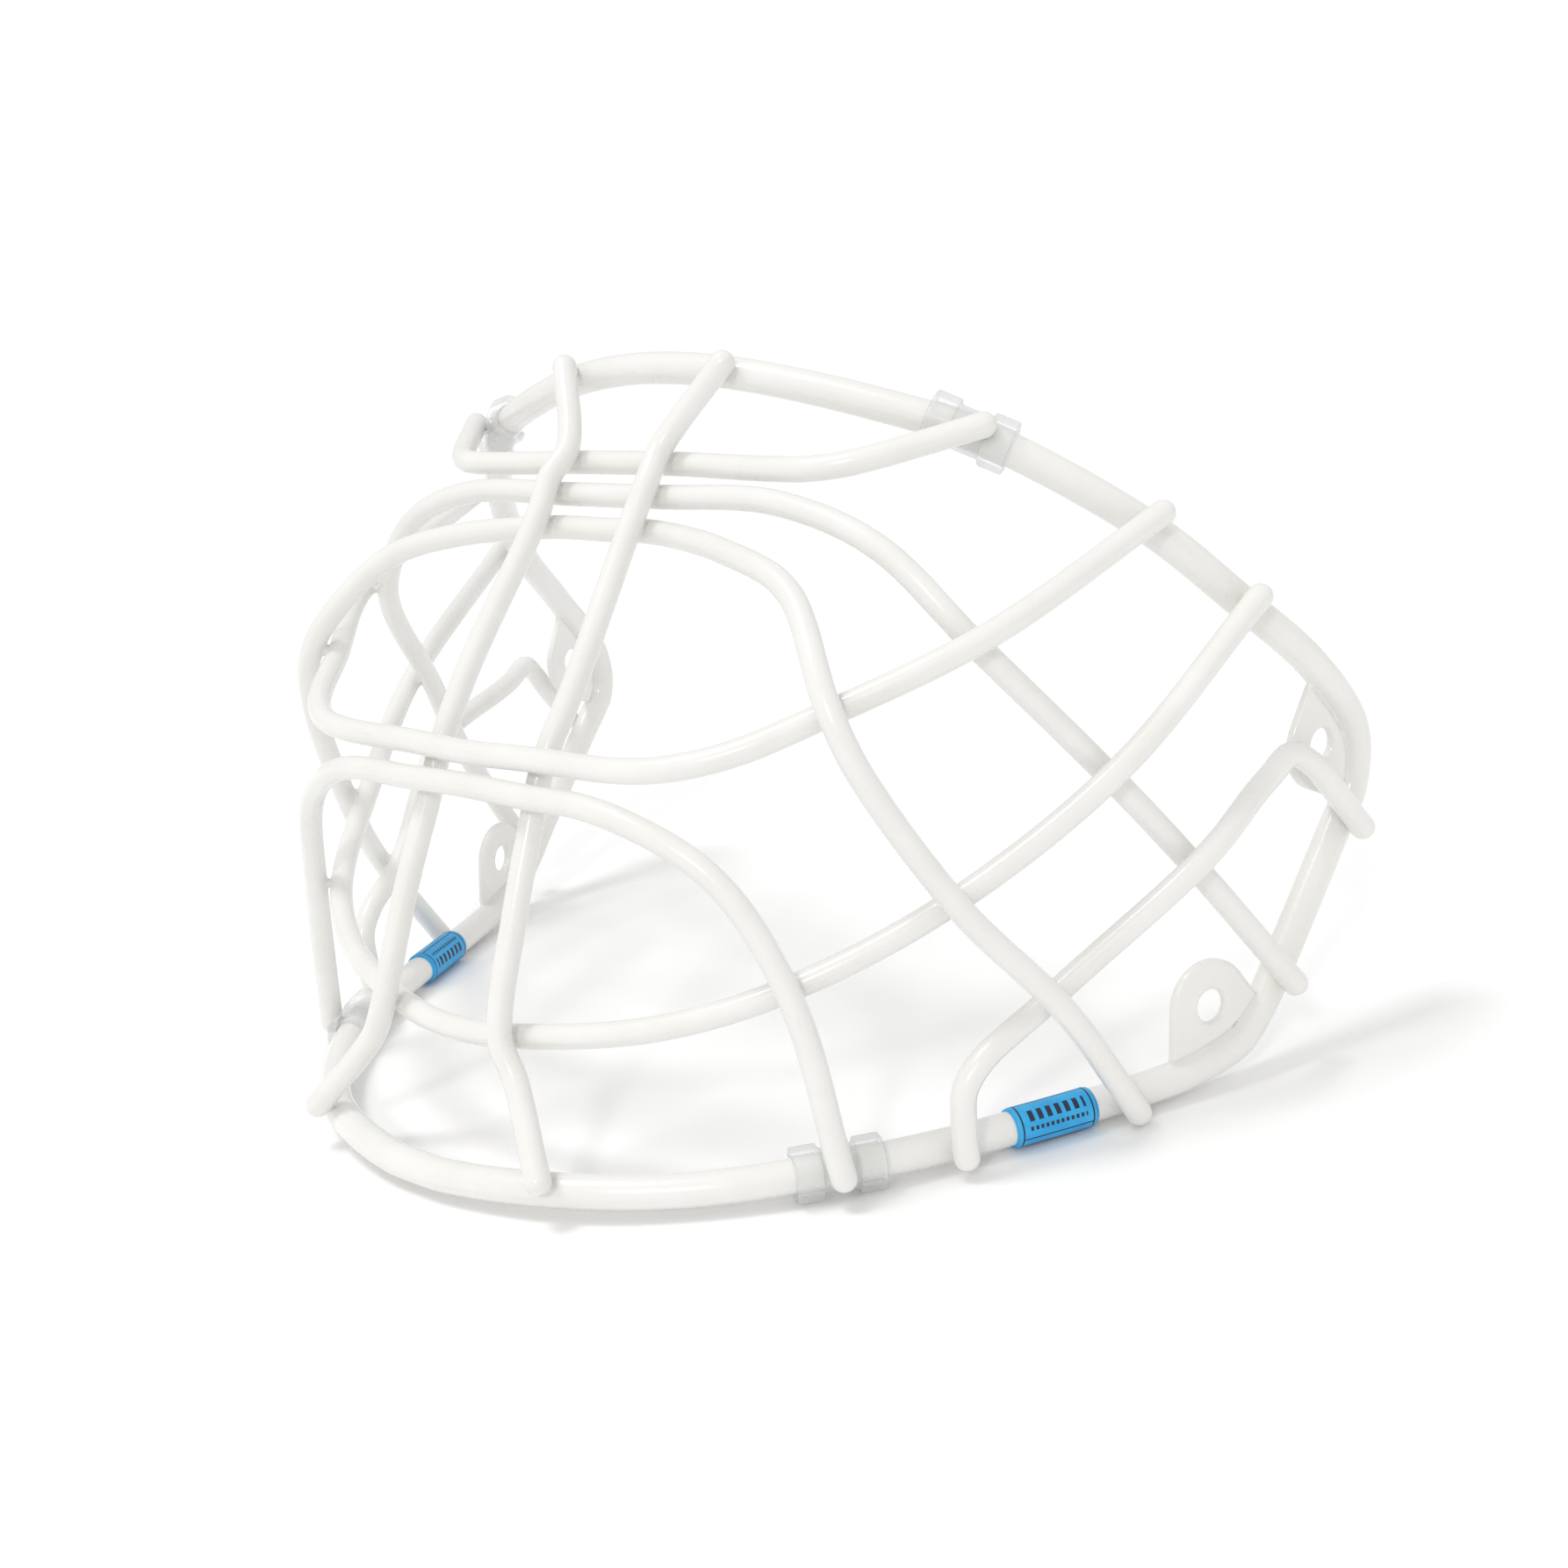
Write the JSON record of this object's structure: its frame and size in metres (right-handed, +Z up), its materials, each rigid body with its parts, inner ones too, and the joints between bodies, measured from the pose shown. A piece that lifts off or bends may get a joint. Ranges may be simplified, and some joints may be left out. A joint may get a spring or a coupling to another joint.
{
  "type": "hockey goalkeeper face cage",
  "caption": "Wire face cage of an ice hockey goalkeeper's mask: coated steel bars welded to a closed rim, with drilled mounting tabs, clear clip-on sleeves and printed bands.",
  "frame": {"origin": "bottom middle of the bounding box, on the surface that the cage stands on", "axes": "+X towards the wearer's left, -Y the way the face looks, +Z up; the cage leans back as it stands on its chin sleeves and printed bands"},
  "size_m": [0.2344, 0.1632, 0.144],
  "materials": {
    "white_coated_steel": "glossy white dipped or powder coating on welded steel wire",
    "clear_plastic": "clear moulded plastic",
    "printed_film": null
  },
  "bodies": {
    "root": {"rim": "white_coated_steel", "forehead_bar": "white_coated_steel", "brow_bar": "white_coated_steel", "upper_eye_bar": "white_coated_steel", "lower_eye_bar": "white_coated_steel", "nose_bar": "white_coated_steel", "mouth_bar": "white_coated_steel", "centre_bar_left": "white_coated_steel", "centre_bar_right": "white_coated_steel", "cheek_bar_left": "white_coated_steel", "cheek_bar_right": "white_coated_steel", "temple_tab_left": "white_coated_steel", "temple_tab_right": "white_coated_steel", "jaw_tab_left": "white_coated_steel", "jaw_tab_right": "white_coated_steel", "forehead_sleeve_left": "clear_plastic", "forehead_sleeve_right": "clear_plastic", "chin_sleeve_left": "clear_plastic", "chin_sleeve_right": "clear_plastic", "printed_band_left": "printed_film", "printed_band_right": "printed_film"}
  },
  "joints": []
}
